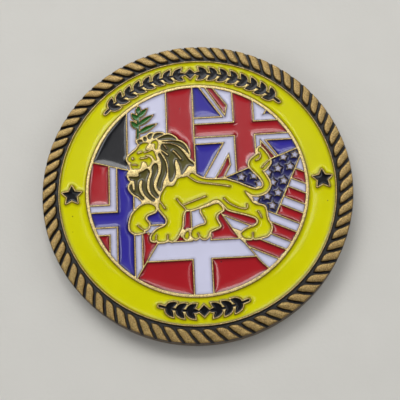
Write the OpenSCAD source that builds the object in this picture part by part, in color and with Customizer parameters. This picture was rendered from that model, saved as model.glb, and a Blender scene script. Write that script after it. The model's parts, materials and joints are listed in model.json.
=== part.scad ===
// A struck metal challenge coin: a roped bronze blank whose front is a map of thin raised lines,
// with a separate fill of coloured enamel in every cell between them.
// The coin lies on its back: the back plane is z = 0, the front faces +Z and the design's top is +Y.

/* [Coin] */
// Diameter of the plain side wall, millimetres
coin_d = 44.45; // [44.2:0.05:45]
// Thickness from rope crest to rope crest
coin_t = 3.0; // [2.7:0.1:3.4]
// How far the rope grooves lie below the rope crests
rope_depth = 0.5; // [0.3:0.05:0.6]
// Number of strands in the rope rim, on each side
strand_count = 72; // [60:1:80]
// Bevel where the side wall meets the rope, on each side
edge_bevel = 0.25; // [0.1:0.05:0.4]

/* [Front relief] */
// How far the tops of the raised lines lie below the rope crests
line_drop = 0.25; // [0.1:0.05:0.4]
// How far the enamel surface lies below the tops of the raised lines
enamel_drop = 0.13; // [0.05:0.01:0.2]
// Depth of an enamel fill, from its surface to the floor of its cell
enamel_depth = 0.45; // [0.3:0.05:0.6]
// Width of the raised lines between the colours of a flag
line_w = 0.2; // [0.16:0.02:0.24]
// Width of the raised outline round the lion
lion_line = 0.26; // [0.2:0.02:0.3]
// Width of the raised outline round the black ornaments of the ring
ornament_line = 0.17; // [0.14:0.01:0.2]
// Narrowest cell that holds enamel
sliver = 0.14; // [0.1:0.02:0.16]

/* [Rings] */
// Radius of the round picture field
field_r = 15.5; // [15.4:0.05:15.6]
// Inner radius of the coloured ring
ring_in_r = 15.95; // [15.9:0.05:16]
// Outer radius of the coloured ring
ring_out_r = 19.72; // [19.6:0.02:19.76]
// Outer radius of the thin ridge that closes the coloured ring
ridge_out_r = 19.9; // [19.85:0.01:19.95]

/* [Reverse] */
// Depth of the reverse field below the rim
reverse_depth = 0.45; // [0.3:0.05:0.5]
// Height of the star and wreath above the reverse field
reverse_relief = 0.3; // [0.2:0.05:0.3]

/* [Hidden] */

coin_r = coin_d / 2;
line_top = coin_t - line_drop;
enamel_top = line_top - enamel_drop;
cell_floor = enamel_top - enamel_depth;
rope_floor = coin_t - rope_depth;
bead_in_r = 19.2;
above = 1;
fine = 160;

bronze = [0.66, 0.53, 0.3];
yellow = [0.85, 0.84, 0.03];
red = [0.72, 0.13, 0.17];
blue = [0.2, 0.18, 0.58];
navy = [0.14, 0.14, 0.38];
white = [0.83, 0.84, 0.92];
black = [0.1, 0.1, 0.12];
olive = [0.36, 0.34, 0.16];
green = [0.14, 0.43, 0.08];

// ---------- curves ----------

curve_steps = 2;

// A point of the smooth curve that passes through p1 and p2, a fraction t of the way.
function between(p0, p1, p2, p3, t) =
    0.5 * (2 * p1 + (p2 - p0) * t + (2 * p0 - 5 * p1 + 4 * p2 - p3) * t * t
    + (3 * p1 - p0 - 3 * p2 + p3) * t * t * t);

// The closed smooth curve through a list of points.
function closed_curve(p) = [
    for (i = [0 : len(p) - 1])
        for (k = [0 : curve_steps - 1])
            between(
                p[(i + len(p) - 1) % len(p)], p[i],
                p[(i + 1) % len(p)], p[(i + 2) % len(p)], k / curve_steps
            )
];

// The open smooth curve through a list of points.
function open_curve(p) = concat([
    for (i = [0 : len(p) - 2])
        for (k = [0 : curve_steps - 1])
            between(p[max(i - 1, 0)], p[i], p[i + 1], p[min(i + 2, len(p) - 1)], k / curve_steps)
], [p[len(p) - 1]]);

function sideways(a, b) = [a[1] - b[1], b[0] - a[0]] / norm(b - a);

// One edge of a band of half-width h beside an open curve, on the side given by 1 or -1.
function edge(c, h, side) = [
    for (i = [0 : len(c) - 1]) c[i] + side * h * sideways(c[max(i - 1, 0)], c[min(i + 1, len(c) - 1)])
];

// The half circle that closes a band at p, where it heads from q to p.
function cap(q, p, h) = let (a = atan2(p[1] - q[1], p[0] - q[0])) [
    for (k = [1 : 5]) p + polar(h, a + 90 - 30 * k)
];

// The outline of a band with round ends that follows an open curve.
function band(c, h) = let (n = len(c)) concat(
    edge(c, h, 1), cap(c[n - 2], c[n - 1], h),
    [for (p = edge([for (i = [n - 1 : -1 : 0]) c[i]], h, 1)) p], cap(c[1], c[0], h)
);

function polar(r, a) = [r * cos(a), r * sin(a)];

module blob(p) polygon(closed_curve(p));

// A raised line of even width with round ends.
module stroke(p, w) polygon(band(open_curve(p), w / 2));

// Drops the slivers that are too narrow to hold enamel.
module finished() offset(delta = sliver / 2) offset(delta = -sliver / 2) children();

// A pointed leaf that lies along X from its root at the origin.
leaf_profile = [[0.16, 0.3], [0.4, 0.48], [0.65, 0.42], [0.86, 0.22]];
module leaf(length, width) {
    polygon(concat(
        [[0, 0]], [for (q = leaf_profile) [q[0] * length, q[1] * width]], [[length, 0]],
        [for (i = [len(leaf_profile) - 1 : -1 : 0])
            [leaf_profile[i][0] * length, -leaf_profile[i][1] * width]]
    ));
}

module star(outer, inner) {
    polygon([for (i = [0 : 9]) polar(i % 2 == 0 ? outer : inner, 90 + 36 * i)]);
}

// ---------- the lion ----------

module lion_body_shape() {
    blob([
        [-0.55, 2.15], [0.3, 1.55], [1, 1.2], [2, 1], [4, 0.9], [5, 0.6], [6, 0.2], [7, -0.3],
        [8, -0.75], [8.6, -0.85], [9.2, -0.7], [9.5, -0.3], [9.5, 0.1], [9.3, 0.6], [8.9, 1.2],
        [8.3, 1.9], [7.9, 2.4], [7.7, 2.8], [7.75, 3.3], [8, 3.7], [8.5, 4.1], [9, 4.4],
        [9.2, 4.6], [9.1, 4.95], [9.15, 5.3], [9.4, 5.5], [9.75, 5.2], [10.15, 4.65],
        [10.45, 4.1], [10.65, 3.5], [10.65, 3], [10.3, 2.5], [9.95, 2.1], [9.65, 2], [9.5, 1.85],
        [9.75, 1.45], [10.1, 0.8], [10.35, 0.2], [10.4, -0.3], [10.1, -1], [9.6, -1.4],
        [8.9, -1.65], [8.2, -1.7], [7.6, -1.5], [7.1, -1.15], [6.8, -0.95], [7, -1.5],
        [7.4, -2.1], [7.8, -2.75], [8.3, -3.1], [8.9, -3.25], [9.3, -3.4], [9.5, -3.7],
        [9.6, -4.2], [9.65, -4.9], [9.8, -5.5], [10.1, -6.1], [10.15, -6.6], [9.95, -7.2],
        [9.5, -7.7], [8.9, -7.85], [8.2, -8], [7.75, -8], [7.5, -7.75], [7.25, -8], [6.7, -8],
        [6.2, -7.8], [5.95, -7.4], [6, -7.1], [6.4, -6.8], [7, -6.5], [7.7, -6.3], [8.2, -6],
        [8.4, -5.6], [8.3, -5.2], [8, -4.9], [7.3, -4.6], [6.5, -4.3], [5.5, -4], [4.6, -3.7],
        [4.2, -3.5], [3.9, -3.1], [3.5, -2.6], [3.1, -2.2], [2.7, -2.05], [2.3, -2.15],
        [1.5, -2.5], [0.5, -2.9], [-0.5, -3.25], [-1.1, -3.35], [-1.6, -3.3], [-1.95, -3.6],
        [-2.15, -4.2], [-2.25, -5], [-2.35, -5.8], [-2.6, -6.4], [-3, -7.1], [-3.3, -7.5],
        [-3.7, -7.75], [-4.1, -7.65], [-4.37, -7.4], [-4.6, -7.6], [-4.9, -7.78], [-5.4, -7.8],
        [-5.8, -7.65], [-6.02, -7.4], [-6.2, -7.58], [-6.45, -7.6], [-6.7, -7.4], [-6.7, -7],
        [-6.4, -6.5], [-6, -6.1], [-5.5, -5.8], [-4.9, -5.6], [-4.5, -5.2], [-4.4, -4.7],
        [-4.6, -4.2], [-4.9, -3.8], [-5.2, -3.4], [-5.5, -2.9], [-5.5, -2.3], [-5.3, -1.8],
        [-5.2, -1], [-4.6, 0.1], [-4.2, 0.4], [-3.5, 0.35], [-3.1, 0.7], [-2.7, 1.4], [-2, 1.6],
        [-1.4, 1.7], [-1, 1.85]
    ]);
}

// The lines struck inside the body: back, shoulder, elbow, chest, flank, hock, tail and toes.
module lion_body_lines() {
    w = 0.19;
    stroke([[-1.5, 2], [-0.6, 1.25], [0.3, 0.72], [1.5, 0.48], [3, 0.22], [4.7, -0.15]], w);
    stroke([[-2.9, -1.6], [-2.6, -2.1], [-2.2, -2.6], [-1.8, -3.1], [-1.55, -3.6]], w);
    stroke([[-2.1, -2.6], [-1, -2.2], [0, -1.85], [1.2, -1.45]], w);
    stroke([[-5.5, -1.75], [-5.1, -2.2], [-4.65, -2.95]], w);
    stroke([[3.8, -1.9], [4.3, -2.5], [5, -3], [5.8, -3.4], [6.6, -3.6], [7, -3.45], [7, -3]], w);
    stroke([[8.5, -4.1], [8.75, -4.6], [8.9, -5]], w);
    stroke([[8.7, 3.55], [9.05, 3.68], [9.3, 3.95], [9.35, 4.3], [9.25, 4.7]], w);
    stroke([[10.75, 3.6], [10.4, 3.3], [9.9, 2.85], [9.5, 2.4]], w);
    stroke([[7.5, -8.1], [7.5, -7.7], [7.55, -7.2]], w);
    stroke([[-4.37, -7.8], [-4.42, -7.3], [-4.38, -6.85]], w);
    stroke([[-6.05, -7.8], [-6.05, -7.3], [-6, -6.8]], w);
}

module lion_far_hind_leg_shape() {
    blob([
        [0.5, -3.3], [1.5, -3], [2.3, -2.7], [2.9, -2.65], [3.4, -3.2], [3.5, -3.65], [3.1, -3.9],
        [2.7, -4.2], [2.5, -4.7], [2.7, -5.3], [2.95, -5.8], [2.85, -6.1], [1.7, -6.55],
        [1.4, -6.9], [1.2, -7.4], [0.9, -7.65], [0.5, -7.6], [0.1, -7.3], [-0.2, -7.5],
        [-0.5, -7.65], [-0.9, -7.4], [-1.1, -7], [-0.9, -6.35], [-0.4, -6], [0.3, -5.75],
        [0.9, -5.6], [1.1, -5.2], [0.9, -4.6], [0.6, -4]
    ]);
    blob([[-1.5, -6.45], [-1.9, -6.7], [-2.1, -7.2], [-1.9, -7.5], [-1.6, -7.6], [-1.35, -7]]);
}

module lion_far_hind_leg_lines() {
    stroke([[0.12, -7.6], [0, -7.2], [-0.1, -6.85]], 0.19);
}

module lion_raised_paw_shape() {
    blob([
        [-7.2, -2.1], [-6.6, -2.2], [-6.1, -2.5], [-5.95, -2.9], [-6.1, -3.3], [-6.6, -3.5],
        [-7.1, -3.7], [-7.4, -4], [-7.45, -4.4], [-7.2, -4.75], [-7, -5.1], [-7.1, -5.6],
        [-7.4, -5.85], [-7.75, -5.92], [-7.75, -6.15], [-8, -6.3], [-8.6, -6.4], [-9.1, -6.3],
        [-9.5, -6], [-9.7, -5.6], [-9.7, -5], [-9.6, -4.4], [-9.4, -3.8], [-9.1, -3.3],
        [-8.6, -2.8], [-8, -2.35]
    ]);
}

module lion_raised_paw_lines() {
    stroke([[-8.55, -5.25], [-8.2, -5.6], [-7.7, -6]], 0.19);
}

module lion_face_shape() {
    blob([
        [-8.1, 6.85], [-7.6, 7.15], [-7.1, 7.2], [-6.7, 7.05], [-6.9, 6.75], [-7.1, 6.4],
        [-7.05, 6.05], [-6.3, 6], [-6, 5.85], [-5.85, 5.5], [-5.7, 5], [-5.6, 4.45], [-5.85, 4.4],
        [-6.1, 4.8], [-6.35, 5.15], [-6.8, 5.33], [-7.25, 5.2], [-6.65, 4.95], [-6.35, 4.6],
        [-6.3, 4.2], [-6.6, 3.7], [-6.95, 3.5], [-7.1, 4], [-7.4, 4.28], [-7.75, 4.2],
        [-7.9, 3.6], [-8.1, 3.22], [-8.7, 3.25], [-9.1, 3.2], [-9.3, 3.5], [-9.4, 3.9],
        [-9.35, 4.2], [-9.7, 4.5], [-9.85, 4.8], [-9.75, 5.1], [-9.4, 5.5], [-8.9, 5.9],
        [-8.4, 6.35]
    ]);
}

// Brow, eye, nostril, mouth and cheek.
module lion_face_lines() {
    w = 0.2;
    stroke([[-7.35, 5.75], [-6.9, 5.85], [-6.4, 6.05]], w);
    stroke([[-8.25, 5.68], [-8.05, 5.78], [-7.85, 5.83]], 0.3);
    stroke([[-9.12, 4.92], [-9.05, 4.8]], 0.28);
    stroke([[-9.1, 3.88], [-8.8, 3.92], [-8.5, 3.82]], w);
    stroke([[-7.9, 4.82], [-7.4, 4.82], [-6.95, 4.95]], w);
}

module lion_ear_shape() {
    blob([
        [-6.35, 7.05], [-6.15, 7.35], [-5.75, 7.5], [-5.4, 7.3], [-5.32, 6.9], [-5.38, 6.4],
        [-5.5, 6.12], [-5.75, 6.1], [-5.85, 6.4], [-5.8, 6.8], [-6, 7]
    ]);
}

// The short locks over the brow, and the two long crescents that sweep over the crown.
module lion_crown_lock_shapes() {
    translate([-7.93, 7.4]) scale([1, 0.92]) circle(r = 0.36, $fn = 32);
    blob([[-7.45, 8], [-7.15, 8.12], [-7, 7.9], [-7, 7.55], [-7.15, 7.45], [-7.4, 7.6]]);
    blob([
        [-6.6, 7.75], [-6.35, 7.85], [-6.2, 8.2], [-6.1, 8.6], [-6.4, 8.6], [-6.75, 8.35],
        [-6.8, 8]
    ]);
    blob([
        [-5.95, 7.8], [-5.7, 7.85], [-5.3, 8.05], [-4.6, 8.35], [-4.7, 8.5], [-5.3, 8.62],
        [-5.7, 8.5], [-6, 8.1]
    ]);
    blob([
        [-5.4, 7.72], [-4.9, 8], [-4.3, 8.22], [-3.7, 8.25], [-3.1, 7.95], [-2.6, 7.45],
        [-3.1, 7.42], [-4, 7.52], [-4.9, 7.5]
    ]);
    blob([
        [-4.65, 7.22], [-3.8, 7.3], [-3, 7.28], [-2.2, 7.12], [-1.7, 6.8], [-1.3, 6.3],
        [-1, 5.6], [-0.95, 5.15], [-1.5, 5.8], [-2.1, 6.3], [-2.8, 6.7], [-3.7, 7]
    ]);
}

module lion_mane_shape() {
    blob([
        [-4.8, 6.85], [-4.2, 6.9], [-3.6, 6.85], [-2.6, 6.4], [-1.9, 5.7], [-1.4, 5], [-0.9, 4.2],
        [-0.3, 3.62], [-0.3, 3.25], [-0.6, 3.15], [-1, 3.3], [-1.5, 2.6], [-2.05, 1.95],
        [-2.2, 2.5], [-2.3, 3.2], [-2.55, 3.9], [-2.85, 4.4], [-3, 3.6], [-2.9, 2.9], [-2.95, 2.1],
        [-3.3, 1.3], [-3.7, 0.98], [-3.95, 1.5], [-3.97, 2.5], [-4, 3.4], [-4.2, 4.3],
        [-4.5, 5], [-4.85, 5.55], [-4.98, 6.3]
    ]);
    blob([
        [-5.4, 5.3], [-5.2, 5.5], [-5, 5.35], [-4.7, 4.8], [-4.35, 4.1], [-4.2, 3.3], [-4.2, 2.5],
        [-4.45, 1.7], [-4.8, 0.9], [-4.95, 0.1], [-5.2, -0.35], [-5.5, -0.1], [-5.72, 0.5],
        [-5.5, 1.4], [-5.15, 2.3], [-4.98, 3.2], [-5, 4.2], [-5.2, 4.8]
    ]);
    blob([
        [-5.8, 3.95], [-5.5, 3.7], [-5.42, 3.1], [-5.55, 2.4], [-6, 1.4], [-6.15, 0.6],
        [-5.95, -0.2], [-5.5, -0.9], [-5.5, -1.2], [-5.75, -1.35], [-6.3, -0.85], [-6.65, -0.2],
        [-6.75, 0.6], [-6.6, 1.5], [-6.32, 2.5], [-6.38, 3.2], [-6.15, 3.75]
    ]);
}

module lion_mane_lines() {
    stroke([[-5.1, 6.05], [-4.6, 5.7], [-4, 5.15]], 0.2);
    stroke([[-3.2, 5.75], [-2.65, 5.15], [-2.1, 4.4]], 0.2);
    stroke([[-4.55, 6.75], [-4.3, 6.4], [-4.15, 6.1]], 0.14);
}

module lion_beard_shape() {
    blob([
        [-9.7, 2.12], [-9, 2.08], [-8.3, 2.12], [-8.25, 2.6], [-7.7, 2.85], [-7.2, 3.15],
        [-6.95, 3.15], [-6.65, 2.7], [-6.85, 2], [-7.08, 1.2], [-7.1, 0.2], [-6.85, -0.5],
        [-6.4, -1.1], [-6, -1.45], [-6.15, -1.8], [-6.5, -1.7], [-7.1, -1.15], [-7.6, -0.5],
        [-7.85, 0.3], [-7.8, 1], [-7.75, 1.45], [-8.05, 1.45], [-8.25, 1], [-8.25, 0.2],
        [-8, -0.6], [-7.55, -1.25], [-7.8, -1.55], [-8.4, -0.95], [-8.9, -0.65], [-9.35, -0.2],
        [-9.65, 0.4], [-9.5, 0.85], [-9.25, 0.9], [-9.2, 0.4], [-9, -0.1], [-8.85, 0.3],
        [-8.9, 1], [-9, 1.5], [-9.4, 1.55]
    ]);
}

// Everything that a lion cell covers, with its lines left in.
module lion_shapes() {
    lion_body_shape();
    lion_far_hind_leg_shape();
    lion_raised_paw_shape();
}

module lion_head_shapes() {
    lion_face_shape();
    lion_ear_shape();
    lion_crown_lock_shapes();
    lion_mane_shape();
    lion_beard_shape();
    stroke([[-9.3, 2.6], [-8.6, 2.7]], 0.7);
}

// Plain metal beside the lion's cells: behind the mane, at the throat, at the chest, over the
// raised paw, beside the small far toe and before the near hind paw.
module lion_plain_metal() {
    stroke([[-1.9, 1.8], [-1.1, 2.6], [-0.45, 2.85]], 0.75);
    stroke([[-4.2, 0.9], [-5.1, -0.5]], 0.6);
    stroke([[-6, -1.7], [-5.7, -2.2], [-5.75, -2.9]], 0.6);
    stroke([[-7.7, -1.85], [-6.2, -1.9]], 0.6);
    stroke([[-2.2, -6.3], [-2.35, -7.1]], 0.5);
    stroke([[-1.7, -6.3], [-1.1, -6.3]], 0.5);
    stroke([[-1.3, -7.1], [-1.3, -7.7]], 0.4);
    stroke([[5.25, -6.9], [5.75, -7.6], [6.3, -8.3]], 0.5);
}

// The lion with its raised outline. The head's cells stand close, so the metal between them is
// closed up; the gaps between the legs stay open.
head_gap = 0.42;
module lion_with_outline() {
    offset(delta = lion_line) lion_shapes();
    offset(delta = -head_gap) offset(delta = lion_line + head_gap) lion_head_shapes();
    lion_plain_metal();
}

module lion_body_cells() {
    finished() difference() {
        lion_body_shape();
        lion_body_lines();
    }
}

module lion_far_hind_leg_cells() {
    finished() difference() {
        lion_far_hind_leg_shape();
        lion_far_hind_leg_lines();
    }
}

module lion_raised_paw_cells() {
    finished() difference() {
        lion_raised_paw_shape();
        lion_raised_paw_lines();
    }
}

module lion_face_cells() {
    finished() difference() {
        lion_face_shape();
        lion_face_lines();
    }
}

module lion_mane_cells() {
    finished() difference() {
        lion_mane_shape();
        lion_mane_lines();
    }
}

module lion_ear_cells() finished() lion_ear_shape();
module lion_crown_lock_cells() finished() lion_crown_lock_shapes();
module lion_beard_cells() finished() lion_beard_shape();

// ---------- the flags ----------

// Dividing lines between the flags, by their middles.
tricolour_right_x = -0.05;
nordic_top = [[-20, 6.13], [-9.8, 3.13], [-6, 2]];
nordic_right = [[-5.9, -8.05], [-8.75, -12.7], [-12, -18]];
striped_left = [
    [3.35, -4.2], [4.6, -6.2], [5.6, -7.8], [6.4, -8.6], [7.5, -10.1], [8.5, -11.4], [9.4, -12.3]
];
striped_top = [[4, 1.15], [22, 7.77]];

module tricolour_panel() {
    polygon(concat([[tricolour_right_x, 20], [-20, 20]], nordic_top, [[tricolour_right_x, 2.5]]));
}

module nordic_panel() {
    polygon(concat(nordic_top, [[-3, 0], [-3, -7.6]], nordic_right, [[-20, -12]]));
}

module white_cross_panel() {
    polygon(concat(
        [[-12, -18], nordic_right[1], nordic_right[0], [-3.4, -7.6], [-3, -2], [3, -2.2]],
        striped_left, [[14, -18]]
    ));
}

module union_panel() {
    polygon(concat([[tricolour_right_x, 20], [tricolour_right_x, 1]], striped_top, [[22, 20]]));
}

module striped_panel() {
    polygon(concat(
        striped_top, [[22, -18], [14, -18]],
        [for (i = [len(striped_left) - 1 : -1 : 0]) striped_left[i]], [[3, -3]]
    ));
}

// A colour of a flag: the first child is the flag's panel and the second the colour's region,
// both drawn to the middles of the lines round them.
module flag_cells() {
    finished() difference() {
        offset(delta = -line_w / 2) intersection() {
            circle(r = field_r + line_w / 2, $fn = fine);
            children(0);
            children(1);
        }
        lion_with_outline();
    }
}

module span(x0, x1, y0, y1) translate([x0, y0]) square([x1 - x0, y1 - y0]);

// Upright tricolour, black, white and red, with a leaf sprig on the white.
tricolour_x = [-9.85, -4];

module leaf_sprig_shape() {
    stroke([[-8.3, 7.4], [-8.2, 9.5], [-8.12, 12]], 0.34);
    for (l = [
        [-8.2, 8.75, 26, 2.9], [-8.2, 10, 34, 2.6], [-8.15, 11.2, 46, 1.9],
        [-8.25, 9.5, 128, 1.5], [-8.2, 10.8, 128, 1.4], [-8.12, 11.8, 88, 1.2]
    ]) {
        translate([l[0], l[1]]) rotate(l[2]) leaf(l[3], 0.74);
    }
}

module leaf_sprig_cells() {
    finished() difference() {
        intersection() {
            circle(r = field_r, $fn = fine);
            leaf_sprig_shape();
        }
        lion_with_outline();
    }
}

module tricolour_black_cells() {
    flag_cells() {
        tricolour_panel();
        span(-20, tricolour_x[0], 0, 20);
    }
}

module tricolour_white_cells() {
    finished() difference() {
        flag_cells() {
            tricolour_panel();
            span(tricolour_x[0], tricolour_x[1], 0, 20);
        }
        offset(delta = 0.14) leaf_sprig_shape();
    }
}

module tricolour_red_cells() {
    flag_cells() {
        tricolour_panel();
        span(tricolour_x[1], tricolour_right_x, 0, 20);
    }
}

// Off-centre cross, blue in white on red.
nordic_blue_x = [-11.45, -9.05];
nordic_blue_y = [-5.3, -3.05];
nordic_white_x = [-12.55, -7.97];
nordic_white_y = [-6.4, -1.97];

module cross(x, y) {
    span(x[0], x[1], -20, 20);
    span(-20, 20, y[0], y[1]);
}

module nordic_red_cells() {
    flag_cells() {
        nordic_panel();
        difference() {
            circle(r = 20);
            cross(nordic_white_x, nordic_white_y);
        }
    }
}

module nordic_white_cells() {
    flag_cells() {
        nordic_panel();
        difference() {
            cross(nordic_white_x, nordic_white_y);
            cross(nordic_blue_x, nordic_blue_y);
        }
    }
}

module nordic_blue_cells() {
    flag_cells() {
        nordic_panel();
        cross(nordic_blue_x, nordic_blue_y);
    }
}

// White cross on red.
white_cross_x = [-1, 1.65];
white_cross_y = [-10.55, -7.88];

module white_cross_red_cells() {
    flag_cells() {
        white_cross_panel();
        difference() {
            circle(r = 20);
            cross(white_cross_x, white_cross_y);
        }
    }
}

module white_cross_white_cells() {
    flag_cells() {
        white_cross_panel();
        cross(white_cross_x, white_cross_y);
    }
}

// Red cross and red diagonals in white on blue.
union_cross_x = [5.8, 8.75];
union_cross_y = [7.55, 9.65];

module union_blue_regions() {
    polygon([[-0.05, 10.62], [4.15, 10.62], [0.3, 16.6], [-0.05, 16.6]]);
    polygon([[-0.05, 6.52], [4.15, 6.52], [1.1, 1.3], [-0.05, 1]]);
    polygon([[10.25, 6.58], [14.5, 6.58], [16, 5.6], [12, 3.9]]);
    polygon([[10.25, 10.62], [13, 10.62], [11.1, 12]]);
}

module union_diagonal_regions() {
    polygon([[1.4, 16.2], [4.6, 10.85], [4.95, 12.4], [2.5, 16]]);
    polygon([[2.2, 0.2], [4.8, 4.65], [4.98, 3.1], [3.4, 0.2]]);
    polygon([[9.55, 6.55], [11.6, 3.75], [10.4, 3.2], [9.5, 5]]);
}

module union_cross_cells() {
    flag_cells() {
        union_panel();
        cross(union_cross_x, union_cross_y);
    }
}

module union_diagonal_cells() {
    flag_cells() {
        union_panel();
        union_diagonal_regions();
    }
}

module union_blue_cells() {
    flag_cells() {
        union_panel();
        union_blue_regions();
    }
}

module union_white_cells() {
    flag_cells() {
        union_panel();
        difference() {
            circle(r = 20);
            cross(union_cross_x, union_cross_y);
            union_diagonal_regions();
            union_blue_regions();
        }
    }
}

// Red and white stripes under a starred canton, all turned clockwise by this angle.
stripe_turn = -25.5;
stripe_top = 7.93;
stripe_pitch = 2.91;
stripe_h = 1.6;
canton_right = 11.93;
canton_bottom = 0.51;

module canton_region() rotate(stripe_turn) span(-5, canton_right, canton_bottom, 20);

module stripe_regions() {
    rotate(stripe_turn) for (k = [0 : 4]) {
        top = stripe_top - stripe_pitch * k;
        span(0, 24, top - stripe_h, top);
    }
}

canton_stars = [
    [6.45, 1.15], [8.25, 1.25], [8.95, -0.05], [12.65, 3.85], [14.3, 4.1], [11.75, 2.15],
    [13.5, 2.35], [10.25, 1.6], [12.45, 0.25], [10.85, 0.1], [11.5, -1.5], [9.95, -1.95],
    [10.55, -3.35], [8.3, -2.2]
];
star_turn = -10;
star_fill_r = 0.58;
star_r = 0.78;

module canton_star_shapes(r, waist) {
    for (p = canton_stars) translate(p) rotate(star_turn) star(r, waist * r);
}

module canton_star_cells() {
    flag_cells() {
        striped_panel();
        intersection() {
            offset(delta = line_w / 2) canton_star_shapes(star_fill_r, 0.5);
            canton_region();
        }
    }
}

module canton_cells() {
    finished() difference() {
        flag_cells() {
            striped_panel();
            canton_region();
        }
        canton_star_shapes(star_r, 0.55);
    }
}

module stripe_red_cells() {
    flag_cells() {
        striped_panel();
        difference() {
            stripe_regions();
            canton_region();
        }
    }
}

module stripe_white_cells() {
    flag_cells() {
        striped_panel();
        difference() {
            circle(r = 20);
            stripe_regions();
            canton_region();
        }
    }
}

// ---------- the ring ----------

// The ring's ornaments lean this far from the design's own axes.
ring_turn = 0.7;
ornament_r = 17.8;
side_star_r = 1.42;

// One half of a laurel spray: a curved stem with a pair of leaves at every step.
module laurel_half(first, last, count) {
    stroke([for (i = [0 : 6]) polar(ornament_r, 90 - first - (last - first) * i / 6)], 0.3);
    for (i = [0 : count - 1]) {
        a = first + (last - first) * (i + 0.35) / count;
        for (side = [-1, 1]) {
            rotate(-a)
                translate([0, ornament_r])
                    rotate(side * 38 + 180)
                        translate([-0.1, 0])
                            leaf(1.75, 0.85);
        }
    }
    rotate(-first) translate([0.1, ornament_r]) rotate(180) leaf(1.35, 0.62);
}

// A whole spray: two mirrored halves that run outward from a lozenge in the middle.
module laurel(first, last, count) {
    laurel_half(first, last, count);
    mirror([1, 0]) laurel_half(first, last, count);
    translate([0, ornament_r]) circle(r = 0.78, $fn = 4);
}

module top_laurel_shape() rotate(ring_turn) laurel(6.2, 46, 8);
module bottom_laurel_shape() rotate(180 + ring_turn) laurel(6.2, 20, 3);
module left_star_shape()
    rotate(180 + ring_turn) translate([17.95, 0]) rotate(180) star(side_star_r, 0.5 * side_star_r);
module right_star_shape() rotate(ring_turn) translate([17.95, 0]) star(side_star_r, 0.5 * side_star_r);

module top_laurel_cells() finished() top_laurel_shape();
module bottom_laurel_cells() finished() bottom_laurel_shape();
module left_star_cells() finished() left_star_shape();
module right_star_cells() finished() right_star_shape();

module ring_cells() {
    finished() difference() {
        circle(r = ring_out_r, $fn = fine);
        circle(r = ring_in_r, $fn = fine);
        offset(delta = ornament_line) {
            top_laurel_shape();
            bottom_laurel_shape();
        }
        offset(r = ornament_line, $fn = 24) {
            left_star_shape();
            right_star_shape();
        }
    }
}

// ---------- the struck blank ----------

// The rope's grooves run outward and round, at this many degrees for each millimetre.
groove_lean = 2.2;
groove_mid_r = 21;
groove_mid_a = 0.25;
strand_out_r = 22.1;
strand_half_gap = 0.55;
strand_a = 360 / strand_count;
function groove_a(r) = groove_mid_a + groove_lean * (r - groove_mid_r);

// One strand, seen from the front: its blunt inner end follows the rim and has rounded corners.
module strand_shape() {
    leading = [for (r = [20.65, 21.35, 22]) polar(r, groove_a(r) + strand_half_gap)];
    trailing = [for (r = [22.05, 21.4, 20.72]) polar(r, groove_a(r) + strand_a - strand_half_gap)];
    polygon(concat(
        leading, [polar(strand_out_r, groove_a(strand_out_r) + strand_a / 2)], trailing,
        [polar(20.47, 3.2), polar(20.31, 2.3), polar(20.26, 1.1), polar(20.27, 0), polar(20.38, -0.4)]
    ));
}

// A ring of strands whose crests are at z = rope_depth. Their feet reach down inside the side wall.
module rope() {
    translate([0, 0, -edge_bevel])
        linear_extrude(rope_depth + edge_bevel)
            offset(delta = 0)
                for (i = [0 : strand_count - 1]) rotate(strand_a * i) strand_shape();
}

module reverse_shape() {
    star(6.4, 2.9);
    for (side = [0, 1]) mirror([side, 0]) {
        stroke([for (i = [0 : 8]) polar(12.6, -86 + 19 * i)], 0.5);
        for (i = [0 : 8]) for (flip = [-1, 1]) {
            rotate(-80 + 16.5 * i) translate([12.6, 0]) rotate(90 - flip * 34) leaf(3.7, 1.3);
        }
    }
}

module reverse_cells() finished() reverse_shape();

// The recess that a fill lies in, cut up through the front.
module recess() translate([0, 0, cell_floor]) linear_extrude(enamel_depth + above) children();

module front_recesses() {
    recess() ring_cells();
    recess() top_laurel_cells();
    recess() bottom_laurel_cells();
    recess() left_star_cells();
    recess() right_star_cells();
    recess() tricolour_black_cells();
    recess() tricolour_white_cells();
    recess() tricolour_red_cells();
    recess() leaf_sprig_cells();
    recess() nordic_red_cells();
    recess() nordic_white_cells();
    recess() nordic_blue_cells();
    recess() white_cross_red_cells();
    recess() white_cross_white_cells();
    recess() union_cross_cells();
    recess() union_diagonal_cells();
    recess() union_white_cells();
    recess() union_blue_cells();
    recess() canton_cells();
    recess() canton_star_cells();
    recess() stripe_red_cells();
    recess() stripe_white_cells();
    recess() lion_body_cells();
    recess() lion_far_hind_leg_cells();
    recess() lion_raised_paw_cells();
    recess() lion_face_cells();
    recess() lion_ear_cells();
    recess() lion_crown_lock_cells();
    recess() lion_mane_cells();
    recess() lion_beard_cells();
}

module coin_body() {
    rim_bottom = rope_depth;
    color(bronze) {
        difference() {
            rotate_extrude($fn = fine) polygon([
                [0, reverse_depth], [bead_in_r, reverse_depth], [bead_in_r, 0],
                [ridge_out_r, 0], [ridge_out_r, rim_bottom], [coin_r - edge_bevel, rim_bottom],
                [coin_r, rim_bottom + edge_bevel], [coin_r, rope_floor - edge_bevel],
                [coin_r - edge_bevel, rope_floor], [ridge_out_r, rope_floor],
                [ridge_out_r, line_top], [0, line_top]
            ]);
            front_recesses();
        }
        translate([0, 0, rope_floor]) rope();
        translate([0, 0, rope_depth]) mirror([0, 0, 1]) rope();
        translate([0, 0, reverse_depth - reverse_relief])
            linear_extrude(reverse_relief + 0.1) reverse_cells();
    }
}

// ---------- the enamel fills ----------

// A fill: it rests on the floor of its cell and is as deep as the enamel.
module fill() translate([0, 0, cell_floor]) linear_extrude(enamel_depth) children();

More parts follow.
